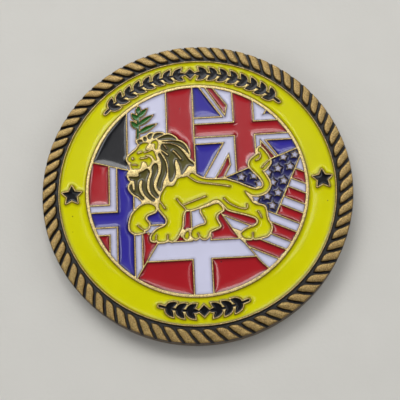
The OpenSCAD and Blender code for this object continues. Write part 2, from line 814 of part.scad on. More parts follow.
module ring_yellow_enamel() color(yellow) fill() ring_cells();
module top_laurel_black_enamel() color(black) fill() top_laurel_cells();
module bottom_laurel_black_enamel() color(black) fill() bottom_laurel_cells();
module left_star_black_enamel() color(black) fill() left_star_cells();
module right_star_black_enamel() color(black) fill() right_star_cells();
module tricolour_flag_black_enamel() color(black) fill() tricolour_black_cells();
module tricolour_flag_white_enamel() color(white) fill() tricolour_white_cells();
module tricolour_flag_red_enamel() color(red) fill() tricolour_red_cells();
module leaf_sprig_green_enamel() color(green) fill() leaf_sprig_cells();
module nordic_flag_red_enamel() color(red) fill() nordic_red_cells();
module nordic_flag_white_enamel() color(white) fill() nordic_white_cells();
module nordic_flag_blue_enamel() color(blue) fill() nordic_blue_cells();
module white_cross_flag_red_enamel() color(red) fill() white_cross_red_cells();
module white_cross_flag_white_enamel() color(white) fill() white_cross_white_cells();
module union_flag_red_cross_enamel() color(red) fill() union_cross_cells();
module union_flag_red_diagonal_enamel() color(red) fill() union_diagonal_cells();
module union_flag_white_enamel() color(white) fill() union_white_cells();
module union_flag_blue_enamel() color(blue) fill() union_blue_cells();
module striped_flag_navy_canton_enamel() color(navy) fill() canton_cells();
module striped_flag_white_star_enamel() color(white) fill() canton_star_cells();
module striped_flag_red_stripe_enamel() color(red) fill() stripe_red_cells();
module striped_flag_white_stripe_enamel() color(white) fill() stripe_white_cells();
module lion_body_enamel() color(yellow) fill() lion_body_cells();
module lion_far_hind_leg_enamel() color(yellow) fill() lion_far_hind_leg_cells();
module lion_raised_paw_enamel() color(yellow) fill() lion_raised_paw_cells();
module lion_face_enamel() color(yellow) fill() lion_face_cells();
module lion_ear_enamel() color(yellow) fill() lion_ear_cells();
module lion_crown_lock_enamel() color(olive) fill() lion_crown_lock_cells();
module lion_mane_enamel() color(olive) fill() lion_mane_cells();
module lion_beard_enamel() color(olive) fill() lion_beard_cells();

coin_body();
ring_yellow_enamel();
top_laurel_black_enamel();
bottom_laurel_black_enamel();
left_star_black_enamel();
right_star_black_enamel();
tricolour_flag_black_enamel();
tricolour_flag_white_enamel();
tricolour_flag_red_enamel();
leaf_sprig_green_enamel();
nordic_flag_red_enamel();
nordic_flag_white_enamel();
nordic_flag_blue_enamel();
white_cross_flag_red_enamel();
white_cross_flag_white_enamel();
union_flag_red_cross_enamel();
union_flag_red_diagonal_enamel();
union_flag_white_enamel();
union_flag_blue_enamel();
striped_flag_navy_canton_enamel();
striped_flag_white_star_enamel();
striped_flag_red_stripe_enamel();
striped_flag_white_stripe_enamel();
lion_body_enamel();
lion_far_hind_leg_enamel();
lion_raised_paw_enamel();
lion_face_enamel();
lion_ear_enamel();
lion_crown_lock_enamel();
lion_mane_enamel();
lion_beard_enamel();
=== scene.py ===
"""The looks of a struck and enamelled challenge coin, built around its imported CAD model.

The CAD frame gives every outline. Each enamel fill becomes a liquid-looking surface that climbs the
metal around it, and the blank becomes one mesh with rounded lines, a roped rim and a modelled reverse.
The coin's lengths are in millimetres until a mesh is made, and the studio's are in metres.
"""

import json
import math

import bmesh
import bpy
import numpy as np
from mathutils import Matrix, Vector, noise
from mathutils.bvhtree import BVHTree
from mathutils.geometry import delaunay_2d_cdt


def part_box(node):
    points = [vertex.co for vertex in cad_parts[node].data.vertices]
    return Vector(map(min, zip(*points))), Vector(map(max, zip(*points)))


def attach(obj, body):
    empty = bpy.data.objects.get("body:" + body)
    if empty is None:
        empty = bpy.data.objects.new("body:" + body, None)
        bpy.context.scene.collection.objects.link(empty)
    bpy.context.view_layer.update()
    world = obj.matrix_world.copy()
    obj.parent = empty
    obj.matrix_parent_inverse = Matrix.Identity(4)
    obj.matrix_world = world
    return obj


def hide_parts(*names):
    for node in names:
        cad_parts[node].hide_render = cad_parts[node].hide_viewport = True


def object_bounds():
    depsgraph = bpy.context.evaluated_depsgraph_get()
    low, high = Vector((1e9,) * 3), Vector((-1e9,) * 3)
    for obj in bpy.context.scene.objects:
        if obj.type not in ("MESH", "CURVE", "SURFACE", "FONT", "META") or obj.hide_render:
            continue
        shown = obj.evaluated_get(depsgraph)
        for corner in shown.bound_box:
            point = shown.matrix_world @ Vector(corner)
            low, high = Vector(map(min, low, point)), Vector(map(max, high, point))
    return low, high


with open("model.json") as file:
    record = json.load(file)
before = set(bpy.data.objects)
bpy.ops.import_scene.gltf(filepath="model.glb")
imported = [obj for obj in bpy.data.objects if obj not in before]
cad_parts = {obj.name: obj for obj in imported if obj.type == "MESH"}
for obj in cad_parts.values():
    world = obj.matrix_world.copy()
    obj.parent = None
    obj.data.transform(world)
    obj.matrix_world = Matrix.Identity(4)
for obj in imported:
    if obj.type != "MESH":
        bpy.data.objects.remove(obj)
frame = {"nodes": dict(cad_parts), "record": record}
cad_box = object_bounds()

MM = 0.001
BLANK = "coin_body"
FILLS = sorted(name for name in frame["nodes"] if name.endswith("_enamel"))


# ---------- sizes, from the frame ----------


SMALLEST_LEVEL = 5  # square millimetres: less flat area than this at a height isn't a level


def levels(facing):
    """The heights of the blank's level faces that look up (1) or down (-1), lowest first."""
    mesh = frame["nodes"][BLANK].data
    area = {}
    for face in mesh.polygons:
        heights = {round(mesh.vertices[i].co.z / MM, 3) for i in face.vertices}
        if len(heights) == 1 and face.normal.z * facing > 0:
            z = heights.pop()
            area[z] = area.get(z, 0) + face.area / MM**2
    return sorted(z for z, a in area.items() if a > SMALLEST_LEVEL)


CELL_FLOOR, ROPE_FLOOR, LINE_TOP, ROPE_TOP = levels(1)
BACK_TOP, RELIEF_TOP, BACK_FIELD, BACK_ROPE_FLOOR = levels(-1)
ENAMEL_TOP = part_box("ring_yellow_enamel")[1].z / MM
RIM = next(m for m in frame["record"]["mounts"] if m["name"] == "rim")
COIN_R = min(abs(side) for corner in cad_box for side in (corner[0], corner[1])) / MM
WALL_LOW = RIM["pos_m"][2] / MM - RIM["dims"]["length_mm"] / 2
WALL_HIGH = RIM["pos_m"][2] / MM + RIM["dims"]["length_mm"] / 2

STEP = 0.15  # spacing of points along an outline
TOUCH = 0.001  # points nearer than this are the same point
SAME_PLACE = 1e-4  # the grid that corners are joined on
CORNER_CUT = 0.07  # how far back from a corner its rounding starts
CORNER_TURN = 50  # degrees: an outline that turns more than this has a corner there
LONG_SIDE = 1.5  # beside a side longer than this, a smaller turn is a corner too
LONG_SIDE_TURN = 20
STRAIGHT_SIDE = 1.2  # a side longer than this stays straight beside a much shorter one
MUCH_SHORTER = 2.5


def slot_of(node):
    """The record's material slot of a CAD node."""
    return next(s["material_slot"] for s in frame["record"]["subparts"] if s["node"] == node)


# ---------- outlines ----------


def flat_outlines(node, level, facing=1):
    """The closed outlines of a node's flat faces at one height, as lists of points x + iy.

    The faces lie to the left. Faces that look down are taken as seen from below, with x reversed.
    """
    mesh = frame["nodes"][node].data
    sides = set()
    for face in mesh.polygons:
        corners = [mesh.vertices[i].co / MM for i in face.vertices]
        if all(abs(c.z - level) < TOUCH for c in corners) and face.normal.z * facing > 0:
            keys = [(round(c.x * facing, 4), round(c.y, 4)) for c in corners]
            sides.update(zip(keys, keys[1:] + keys[:1]))
    following = {}
    for a, b in sides:
        if (b, a) not in sides:
            following.setdefault(a, []).append(b)
    outlines = []
    while following:
        start = here = min(following)
        outline = []
        while here in following:
            outline.append(complex(*here))
            onward = following[here].pop()
            if not following[here]:
                del following[here]
            here = onward
            if here == start:
                break
        outlines.append(outline)
    return outlines


def unit(z):
    """Each complex number at length 1."""
    return z / np.maximum(np.abs(z), 1e-12)


def cleaned(points):
    """An outline without doubled points and without points in the middle of a straight side."""
    p = np.array(points)
    p = p[np.abs(p - np.roll(p, 1)) > 0.003]
    turn = np.angle((np.roll(p, -1) - p) / (p - np.roll(p, 1)))
    return p[np.abs(turn) > 1e-3]


def smooth_outline(points, step=STEP):
    """Evenly spaced points on the smooth curve through an outline, its corners slightly rounded."""
    p = cleaned(points)
    n = len(p)
    ahead = np.roll(p, -1) - p
    back = np.roll(ahead, 1)
    la, lb = np.abs(back), np.abs(ahead)
    ua, ub = unit(back), unit(ahead)
    turn = np.abs(np.degrees(np.angle(ub / ua)))
    corner = (turn > CORNER_TURN) | ((turn > LONG_SIDE_TURN) & (np.maximum(la, lb) > LONG_SIDE))
    tangent = unit(ua * lb + ub * la)
    tangent = np.where((la > MUCH_SHORTER * lb) & (la > STRAIGHT_SIDE), ua, tangent)
    tangent = np.where((lb > MUCH_SHORTER * la) & (lb > STRAIGHT_SIDE), ub, tangent)
    cut = np.where(corner, np.minimum(CORNER_CUT, 0.25 * np.minimum(la, lb)), 0)
    pieces = []
    for i in range(n):
        j = (i + 1) % n
        a, b, length, way = p[i], p[j], lb[i], ub[i]
        start = way if corner[i] else tangent[i]
        end = way if corner[j] else tangent[j]
        if corner[i] and not corner[j]:
            start = way * np.conj(end / way)
        if corner[j] and not corner[i]:
            end = way * np.conj(start / way)
        count = max(1, math.ceil(length / step))
        t = np.linspace(cut[i] / length, 1 - cut[j] / length, count + 1)
        c, d = a + start * length / 3, b - end * length / 3
        curve = a * (1 - t) ** 3 + 3 * c * t * (1 - t) ** 2 + 3 * d * t * t * (1 - t) + b * t**3
        pieces.append(curve)
    outline = []
    for i in range(n):
        j = (i + 1) % n
        if corner[j]:
            outline.extend(pieces[i])
            outline.append(0.25 * pieces[i][-1] + 0.5 * p[j] + 0.25 * pieces[j][0])
        else:
            outline.extend(pieces[i][:-1])
    outline = np.array(outline)
    return outline[np.abs(outline - np.roll(outline, 1)) > 0.002]


def circle(radius, count, turn=0.0):
    """Points of a circle, counter-clockwise, the first at an angle in degrees."""
    return radius * np.exp(1j * (np.radians(turn) + 2 * math.pi * np.arange(count) / count))


# ---------- distances and triangles ----------


def leftward(outline):
    """At each point of an outline, the direction that points squarely to its left."""
    return 1j * unit(unit(np.roll(outline, -1) - outline) + unit(outline - np.roll(outline, 1)))


class Walls:
    """Upright walls on a set of outlines, which tell how far inside them a point lies."""

    def __init__(self, outlines):
        corners, faces = [], []
        for o in outlines:
            n, start = len(o), len(corners)
            corners += [(z.real, z.imag, -1) for z in o]
            corners += [(z.real, z.imag, 1) for z in o]
            for i in range(n):
                k = (i + 1) % n
                faces.append((start + i, start + k, start + n + k, start + n + i))
        self.tree = BVHTree.FromPolygons(corners, faces)
        self.start = np.concatenate(outlines)
        self.end = np.concatenate([np.roll(o, -1) for o in outlines])
        self.start_left = np.concatenate([leftward(o) for o in outlines])
        self.end_left = np.concatenate([np.roll(leftward(o), -1) for o in outlines])

    def depth(self, z):
        """The distance from each point to the nearest wall, negative on that wall's right."""
        nearest = [self.tree.find_nearest((q.real, q.imag, 0))[2] for q in z]
        a, b = self.start[nearest], self.end[nearest]
        along = ((z - a) * np.conj(b - a)).real / np.abs(b - a) ** 2
        left = np.where(along <= 0, self.start_left[nearest], 1j * unit(b - a))
        left = np.where(along >= 1, self.end_left[nearest], left)
        foot = a + np.clip(along, 0, 1) * (b - a)
        side = ((z - foot) * np.conj(left)).real
        return np.where(side >= 0, 1, -1) * np.abs(z - foot)


def touching(distance):
    """Distances with those that only rounding keeps off an outline, or beyond it, made 0."""
    return np.where(distance < TOUCH, 0, distance)


def thinned(z, gap):
    """The points with at most one kept in each square of the given size."""
    keys = np.stack([np.round(z.real / gap), np.round(z.imag / gap)], 1)
    first = np.unique(keys, axis=0, return_index=True)[1]
    return z[np.sort(first)]


NEARLY = 0.9  # a point is dropped if its nearest wall is closer than this part of its distance
CROWDED = 0.45  # points closer together than this part of STEP are thinned
TRIANGLE_HEIGHT = 0.87  # the spacing of a triangular grid's rows, as a part of its gap


def beside(outlines, walls, steps):
    """Points at set distances from the outlines, to the left, where no other wall is nearer."""
    found = []
    for d in steps:
        row = np.concatenate([o + leftward(o) * d for o in outlines])
        row = row[np.abs(walls.depth(row)) > NEARLY * abs(d)]
        found.append(thinned(row, CROWDED * STEP))
    return np.concatenate(found)


def lattice(outlines, walls, gap, clear):
    """A triangular grid of points inside the outlines, kept clear of them."""
    every = np.concatenate(outlines)
    xs = np.arange(every.real.min(), every.real.max(), gap)
    ys = np.arange(every.imag.min(), every.imag.max(), gap * TRIANGLE_HEIGHT)
    grid = np.array([complex(x + gap / 2 * (k % 2), y) for k, y in enumerate(ys) for x in xs])
    return grid[walls.depth(grid) > clear]


def triangulate(outlines, loose=(), creases=(), inside=None):
    """Triangles that use the outlines' points and the loose ones, as points x + iy and triples.

    No triangle crosses an outline or a crease, which is an open line of points. Only those are kept
    whose middle lies inside the walls given as inside.
    """
    points, sides = [], []
    for o in outlines:
        n, start = len(o), len(points)
        points += [Vector((z.real, z.imag)) for z in o]
        sides += [(start + i, start + (i + 1) % n) for i in range(n)]
    for line in creases:
        start = len(points)
        points += [Vector((z.real, z.imag)) for z in line]
        sides += [(start + i, start + i + 1) for i in range(len(line) - 1)]
    points += [Vector((z.real, z.imag)) for z in loose]
    result = delaunay_2d_cdt(points, sides, [], 0, 1e-6, False)
    z = np.array([complex(v.x, v.y) for v in result[0]])
    faces = np.array(result[2])
    faces = faces[inside.depth(z[faces].mean(1)) > 0]
    used, faces = np.unique(faces, return_inverse=True)
    return z[used], faces.reshape(-1, 3)


def border_sides(faces):
    """The directed sides of triangles that have no neighbour, with the surface to their left."""
    sides = np.concatenate([faces[:, [0, 1]], faces[:, [1, 2]], faces[:, [2, 0]]])
    base = sides.max() + 1
    codes = sides[:, 0] * base + sides[:, 1]
    return sides[~np.isin(codes, sides[:, 1] * base + sides[:, 0])]


class Shell:
    """Collects faces with their corner positions and point values, and joins what touches."""

    def __init__(self, values):
        self.points, self.faces, self.count = [], [], 0
        self.values = {name: [] for name in values}

    def add(self, xyz, faces, **values):
        self.points.append(np.asarray(xyz, float))
        self.faces += [[self.count + k for k in f] for f in np.asarray(faces).tolist()]
        self.count += len(xyz)
        for name, stored in self.values.items():
            stored.append(np.broadcast_to(values.get(name, 0.0), (len(xyz),)).astype(float))

    def build(self, name):
        """The object. Points at the same place become one, and faces without an area go."""
        xyz = np.concatenate(self.points)
        keys = np.round(xyz / SAME_PLACE).astype(np.int64)
        _, first, same = np.unique(keys, axis=0, return_index=True, return_inverse=True)
        same = same.reshape(-1)
        faces = []
        for f in self.faces:
            g = [int(same[k]) for k in f]
            g = [k for i, k in enumerate(g) if k != g[i - 1]]
            if len(set(g)) > 2:
                faces.append(g)
        mesh = bpy.data.meshes.new(name)
        mesh.from_pydata((xyz[first] * MM).tolist(), [], faces)
        for value, stored in self.values.items():
            layer = mesh.attributes.new(value, "FLOAT", "POINT")
            layer.data.foreach_set("value", np.concatenate(stored)[first].astype(np.float32))
        soft = bmesh.new()
        soft.from_mesh(mesh)
        bmesh.ops.remove_doubles(soft, verts=soft.verts, dist=TOUCH * MM)
        soft.to_mesh(mesh)
        soft.free()
        mesh.validate()
        thing = bpy.data.objects.new(name, mesh)
        bpy.context.scene.collection.objects.link(thing)
        return thing


def smooth_shading(thing, degrees):
    """Smooth shading, with an edge kept sharp where its faces meet at more than this angle."""
    mesh = thing.data
    mesh.polygons.foreach_set("use_smooth", np.ones(len(mesh.polygons), bool))
    mesh.set_sharp_from_angle(angle=math.radians(degrees))


def ripple(z, size, seed):
    """Smooth noise from -1 to 1 at each point, with bumps of about the given size."""
    return np.array([noise.noise((q.real / size, q.imag / size, seed)) for q in z])


# ---------- enamel surfaces ----------


SETTLING_ROUNDS = 160
STEEPEST = 50  # the most that one thin triangle may pull on its corners


def settled(z, faces, pinned, reach):
    """Heights of a liquid surface held at 1 where pinned, which sinks to 0 over about the reach."""
    i, j, k = faces.T
    rows, cols, weights = [], [], []
    area = np.zeros(len(z))
    for a, b, c in ((i, j, k), (j, k, i), (k, i, j)):
        p, q = z[a] - z[c], z[b] - z[c]
        dot = (p * np.conj(q)).real
        cross = np.abs((p * np.conj(q)).imag)
        half_cot = np.clip(dot / np.maximum(cross, 1e-9), 0, STEEPEST) / 2
        rows += [a, b]
        cols += [b, a]
        weights += [half_cot, half_cot]
        area += np.bincount(c, cross / 6, len(z))
    rows, cols, weights = map(np.concatenate, (rows, cols, weights))
    total = np.bincount(rows, weights, len(z)) + area / reach**2
    height = np.where(pinned, 1.0, 0.0)
    free = ~pinned & (total > 0)
    for _ in range(SETTLING_ROUNDS):
        pulled = np.bincount(rows, weights * height[cols], len(z))
        height[free] = pulled[free] / total[free]
    return height


# How each colour lies in its cell: how far it climbs the metal, over what reach, and its ripple.
FILL_STYLES = {
    "yellow": dict(climb=0.20, reach=0.40, wave=0.010),
    "black": dict(climb=0.15, reach=0.42, wave=0.020),
    "small_black": dict(climb=0.07, reach=0.15, wave=0.004),
    "white": dict(climb=0.10, reach=0.3, wave=0.006),
    "red": dict(climb=0.19, reach=0.55, wave=0.014),
    "blue": dict(climb=0.18, reach=0.5, wave=0.014),
    "navy": dict(climb=0.13, reach=0.25, wave=0.008),
    "green": dict(climb=0.10, reach=0.2, wave=0.006),
    "olive": dict(climb=0.14, reach=0.25, wave=0.008),
}
WALL_SHOW = 0.05  # how far below the line tops the enamel meets the metal
RINGS = (0.05, 0.11, 0.19, 0.29, 0.41, 0.55)  # rows of points, by their distance from the border
ENAMEL_GAP = 0.3  # spacing of the points inside those rows
ENAMEL_SHARP = 60  # degrees: a sharper edge than this stays sharp
RIPPLE_SIZE = 2.6
RIPPLE_STARTS = 0.5  # the distance from the border over which the ripple fades in


def look_of(node):
    """The name of an enamel fill's look: its colour, or small_black for the ornaments of the ring."""
    colour = slot_of(node).replace("_enamel", "")
    return colour if "flag" in node or colour != "black" else "small_black"


def fill_outlines(node):
    """The smooth outlines of an enamel fill's surface, with the enamel to their left."""
    return [smooth_outline(o) for o in flat_outlines(node, ENAMEL_TOP) if len(o) > 2]


def enamel_fill(node, outlines, seed):
    """One enamel fill as a closed mesh: its settled surface, its sides and its floor."""
    style = FILL_STYLES[look_of(node)]
    walls = Walls(outlines)
    inner = lattice(outlines, walls, ENAMEL_GAP, RINGS[-1] + 0.12)
    loose = [beside(outlines, walls, RINGS), inner]
    z, faces = triangulate(outlines, np.concatenate(loose), inside=walls)
    border = border_sides(faces)
    pinned = np.zeros(len(z), bool)
    pinned[border.ravel()] = True
    height = settled(z, faces, pinned, style["reach"])
    away = np.where(pinned, 0, np.abs(walls.depth(z)))
    wall = LINE_TOP - WALL_SHOW
    level = wall - style["climb"]
    wave = style["wave"] * ripple(z, RIPPLE_SIZE, seed) * np.clip(away / RIPPLE_STARTS, 0, 1)
    top = level + style["climb"] * height + wave
    shell = Shell(["border"])
    xyz = np.stack([z.real, z.imag, top], 1)
    shell.add(xyz, faces, border=away)
    add_wall(shell, xyz, border, CELL_FLOOR)
    floor_z, floor_faces = triangulate(outlines, inside=walls)
    floor = np.stack([floor_z.real, floor_z.imag, np.full(len(floor_z), CELL_FLOOR)], 1)
    shell.add(floor, floor_faces[:, ::-1])
    thing = shell.build(node.replace("_enamel", "_fill"))
    smooth_shading(thing, ENAMEL_SHARP)
    return thing


def add_wall(shell, xyz, border, foot, **values):
    """An upright wall from each border side down to a height, which faces away from the surface."""
    a, b = xyz[border[:, 0]], xyz[border[:, 1]]
    n = len(a)
    low_a, low_b = a.copy(), b.copy()
    low_a[:, 2] = low_b[:, 2] = foot
    quads = np.arange(n)[:, None] + np.array([0, 2 * n, 3 * n, n])
    shell.add(np.concatenate([a, b, low_a, low_b]), quads, **values)


# ---------- the blank ----------

METAL_SHARP = 50  # degrees: a sharper edge than this stays sharp
SHOULDER = 0.07  # radius of the rounding along the raised lines
LINE_RINGS = (0.024, 0.08)  # rows of points on the lines, by their distance from the cells
RIM_R = 19.9  # where the relief ends and the rope begins, on both sides
# Where the rope's columns run from one groove's middle to the next, closest at the strands' edges.
STRAND_COLUMNS = (0, 0.07, 0.105, 0.13, 0.17, 0.25, 0.38, 0.52, 0.66, 0.77, 0.83, 0.87, 0.895, 0.93)
BORDER_ROWS = (0, 0.025, 0.08, 0.17)  # the grid's first rows, out from its inner border
FIRST_STRAND_ROW = 20.16
ROW_GAP = 0.12
EDGE_ROWS = (0.15, 0.08, 0.035, 0.01, 0)  # the grid's last rows, in from the side wall
STRAND_EDGE = 0.13  # width of a strand's rounded edge
STRAND_END = 0.12  # points this near to a strand's outermost one are at its outer end
STRAND_DOME = 0.07  # how much lower a strand is near its edge than along its middle
STRAND_DENTS = 0.03
STRAND_POINTS = 40  # a strand's outline has fewer points than this
ROLL_OVER = 0.22  # width of the rounding at the rope's outer edge
SIDE_ROWS = 6
LEAN = 2.2  # degrees that the rope grooves turn for each millimetre outwards


def rounding(d, radius):
    """A quarter-round edge: 0 at its foot, 1 from the radius inwards."""
    t = np.clip(d / radius, 0, 1)
    return np.sqrt(np.clip(1 - (1 - t) ** 2, 0, 1))


def rope(level, floor_z, facing):
    """A roped rim as a grid of rows by columns, from the ridge inside it out to the side wall.

    Returns its points x + iy (x reversed for the underside), heights above the groove floor, and wear
    with painted shade on the rolled outer edge.
    The columns follow the leaning grooves. The first row is the border of the relief inside the rope.
    """
    strands = [np.array(o) for o in flat_outlines(BLANK, level, facing)]
    strands = [o for o in strands if np.abs(o).min() > RIM_R and len(o) < STRAND_POINTS]
    pitch = 360 / len(strands)
    strand = min(strands, key=lambda o: abs(np.angle(np.mean(o))))
    # The strand runs on past the side wall, so that it stays whole where the rim rolls over.
    at_end = np.abs(strand) > np.abs(strand).max() - STRAND_END
    angle = np.degrees(np.angle(strand)) - lean(np.abs(strand), facing)
    radius = np.where(at_end, COIN_R + 1, np.abs(strand))
    strand = radius * np.exp(1j * np.radians(angle + lean(radius, facing)))
    start = (angle[at_end].min() + angle[at_end].max() - pitch) / 2
    middle_rows = np.arange(FIRST_STRAND_ROW, COIN_R - ROLL_OVER, ROW_GAP)
    border_rows = RIM_R + np.array(BORDER_ROWS)
    rows = np.concatenate([border_rows, middle_rows, COIN_R - np.array(EDGE_ROWS)])
    phases = start + pitch * np.array(STRAND_COLUMNS)
    rr, aa = np.meshgrid(rows, phases, indexing="ij")
    places = rr * np.exp(1j * np.radians(aa + lean(rr, facing)))
    depth = Walls([smooth_outline(strand, 0.08)]).depth(places.ravel()).reshape(rr.shape)
    depth = np.tile(depth, len(strands))
    turns = np.repeat(np.arange(len(strands)) * pitch, len(STRAND_COLUMNS))
    z = np.tile(places, len(strands)) * np.exp(1j * np.radians(turns))
    crown = abs(level - floor_z)
    dents = ripple(z.ravel(), 0.7, 5.5 + facing).reshape(z.shape)
    domed = STRAND_DOME * (1 - np.clip(depth / 0.45, 0, 1)) ** 2
    height = (crown - domed - STRAND_DENTS * np.abs(dents)) * rounding(depth, STRAND_EDGE)
    out = np.clip((np.abs(z) - (COIN_R - ROLL_OVER)) / ROLL_OVER, 0, 1)
    below = abs(floor_z - (WALL_HIGH if facing > 0 else WALL_LOW))
    height = np.minimum(height, (crown + below) * np.sqrt(1 - out**2) - below)
    # Dark in the grooves from patina, and darker where the rope rolls over its outer edge from painted
    # shade.
    wear = np.clip((depth + 0.01) / 0.07, 0, 1) * (1 - 0.6 * out**3)
    return z, height, wear


def lean(r, facing):
    """The angle in degrees by which the rope's grooves have turned at a radius, from either side."""
    return facing * LEAN * (r - COIN_R)


def grid_faces(rows, columns):
    """Quads between neighbouring rows of a grid that closes on itself sideways."""
    i, j = np.meshgrid(np.arange(rows - 1), np.arange(columns), indexing="ij")
    k = (j + 1) % columns
    quads = [i * columns + j, (i + 1) * columns + j, (i + 1) * columns + k, i * columns + k]
    return np.stack(quads, -1).reshape(-1, 4)


def front_lines(shell, outlines, rim):
    """The tops of the raised lines, their walls and the cell floors, inside the rim's circle."""
    around = [o[::-1] for o in outlines] + [rim]
    walls = Walls(around)
    loose = beside(around, walls, LINE_RINGS)
    z, faces = triangulate(around, loose, inside=walls)
    border = border_sides(faces)
    away = touching(np.abs(walls.depth(z)))
    uneven = 0.012 * ripple(z, 0.5, 3.1) + 0.008 * ripple(z, 0.22, 8.7)
    top = LINE_TOP - SHOULDER * (1 - rounding(away, SHOULDER)) + uneven * np.clip(away / 0.05, 0, 1)
    xyz = np.stack([z.real, z.imag, top], 1)
    # The lines are darker towards their edges: patina, and painted shade where they meet the enamel.
    shell.add(xyz, faces, wear=0.45 + 0.55 * np.clip(away / 0.06, 0, 1), line=1.0)
    at_rim = np.abs(z) > RIM_R - TOUCH
    cell_side = border[~(at_rim[border[:, 0]] & at_rim[border[:, 1]])]
    add_wall(shell, xyz, cell_side, CELL_FLOOR, wear=0.2, line=1.0)
    floor_z, floor_faces = triangulate(outlines, inside=Walls(outlines))
    floor = np.stack([floor_z.real, floor_z.imag, np.full(len(floor_z), CELL_FLOOR)], 1)
    shell.add(floor, floor_faces, wear=0.2)


STAR_FOOT = 0.12  # the upright step round the star
STAR_RISE = 0.28  # the star's further rise to its middle
LEAF_FOOT = 0.1
LEAF_RISE = 0.2
LEAF_SLOPE = 0.4  # how far in from a leaf's edge it stops rising
STEP_SLOPE = 0.03  # how far the upright steps lean in
RELIEF_RINGS = (-0.06, 0.035, 0.09, 0.18, 0.3)  # rows of points beside the star and the leaves
FIELD_GAP = 0.8  # spacing of the points on the field
FIELD_CLEAR = 0.35  # how far they keep from the star and the leaves
BEAD_IN = 19.2  # where the bead starts
BEAD_EDGE = 0.3  # radius of the rounding along it
BEAD_ROWS = 8
BEAD_COLUMNS = 360


def reverse_relief(shell, rim):
    """The reverse inside its rope: a faceted star in a laurel wreath, inside a plain bead."""
    relief = [cleaned(o) for o in flat_outlines(BLANK, RELIEF_TOP, -1)]
    star = max(relief, key=lambda o: -abs(np.mean(o)) + 0.01 * len(o))
    star_line = smooth_outline(star)
    leaves = [smooth_outline(o) for o in relief if o is not star]
    both = [star_line, *leaves]
    star_walls, leaf_walls, walls = Walls([star_line]), Walls(leaves), Walls(both)
    centre = np.mean(star)
    spokes = [centre + (tip - centre) * np.linspace(0, 0.93, 30) for tip in star]
    bead_rows = (BEAD_IN - STEP, *np.linspace(BEAD_IN, RIM_R - 0.05, BEAD_ROWS))
    beads = [circle(r, BEAD_COLUMNS) for r in bead_rows]
    field = lattice([rim], Walls([rim]), FIELD_GAP, 0.9)
    field = field[np.abs(walls.depth(field)) > FIELD_CLEAR]
    loose = np.concatenate([beside(both, walls, RELIEF_RINGS), *beads, field])
    z, faces = triangulate([*both, rim], loose, spokes, inside=Walls([rim]))
    in_star = np.clip(star_walls.depth(z), 0, None)
    in_leaf = np.clip(leaf_walls.depth(z), 0, None)
    deepest = in_star.max()
    star_step = np.clip(in_star / STEP_SLOPE, 0, 1)
    leaf_step = np.clip(in_leaf / STEP_SLOPE, 0, 1)
    height = STAR_FOOT * star_step + STAR_RISE * in_star / deepest
    height += LEAF_FOOT * leaf_step + LEAF_RISE * np.clip(in_leaf / LEAF_SLOPE, 0, 1)
    bead = touching(np.minimum(np.abs(z) - BEAD_IN, RIM_R - np.abs(z)))
    height += BACK_FIELD * rounding(bead, BEAD_EDGE)
    wear = 0.22 + 0.78 * np.clip(height / 0.25, 0, 1)
    xyz = np.stack([-z.real, z.imag, BACK_FIELD - height], 1)
    shell.add(xyz, faces, wear=wear, line=0.3)


def struck_blank(outlines):
    """The blank's front, rim and reverse as one closed mesh."""
    shell = Shell(["wear", "line"])
    front, front_height, front_wear_and_shade = rope(ROPE_TOP, ROPE_FLOOR, 1)
    front_height[0] = LINE_TOP - SHOULDER - ROPE_FLOOR
    front_height[1] = front_height[0] * 0.3
    front_wear_and_shade[0] = 0.7
    front_wear_and_shade[1] = 0.2
    front_lines(shell, outlines, front[0])
    back, back_height, back_wear_and_shade = rope(BACK_TOP, BACK_ROPE_FLOOR, -1)
    back_height[0] = BACK_ROPE_FLOOR - BACK_FIELD
    reverse_relief(shell, back[0])
    rows, columns = front.shape
    top = np.stack([front.real, front.imag, ROPE_FLOOR + front_height], -1)
    shell.add(top.reshape(-1, 3), grid_faces(rows, columns), wear=front_wear_and_shade.ravel())
    low = np.stack([-back.real, back.imag, BACK_ROPE_FLOOR - back_height], -1)
    shell.add(low.reshape(-1, 3), grid_faces(rows, columns), wear=back_wear_and_shade.ravel())
    add_side(shell, top[-1], low[-1])
    thing = shell.build("struck_bronze_blank")
    smooth_shading(thing, METAL_SHARP)
    return thing


def add_side(shell, high, low):
    """The plain side wall between the outer rows of the two ropes."""
    count = len(high)
    angle = np.angle(high[:, 0] + 1j * high[:, 1])
    low_angle = np.angle(low[:, 0] + 1j * low[:, 1])
    first = int(np.argmin(np.abs(np.angle(np.exp(1j * (low_angle - angle[0]))))))
    low = low[(first - np.arange(count)) % count]
    twist = np.angle(np.exp(1j * (np.angle(low[:, 0] + 1j * low[:, 1]) - angle)))
    rows = []
    for t in np.linspace(0, 1, SIDE_ROWS + 1):
        z = COIN_R * np.exp(1j * (angle + twist * t))
        rows.append(np.stack([z.real, z.imag, high[:, 2] * (1 - t) + low[:, 2] * t], -1))
    rows[0], rows[-1] = high, low
    # Painted shade: the side wall is darker towards its top and bottom edges, the bottom one a painted
    # contact shadow against the floor.
    edge = np.abs(np.linspace(-1, 1, SIDE_ROWS + 1)) ** 4
    wear = np.repeat(0.75 - 0.35 * edge, count)
    shell.add(np.concatenate(rows), grid_faces(SIDE_ROWS + 1, count), wear=wear)


# ---------- materials ----------


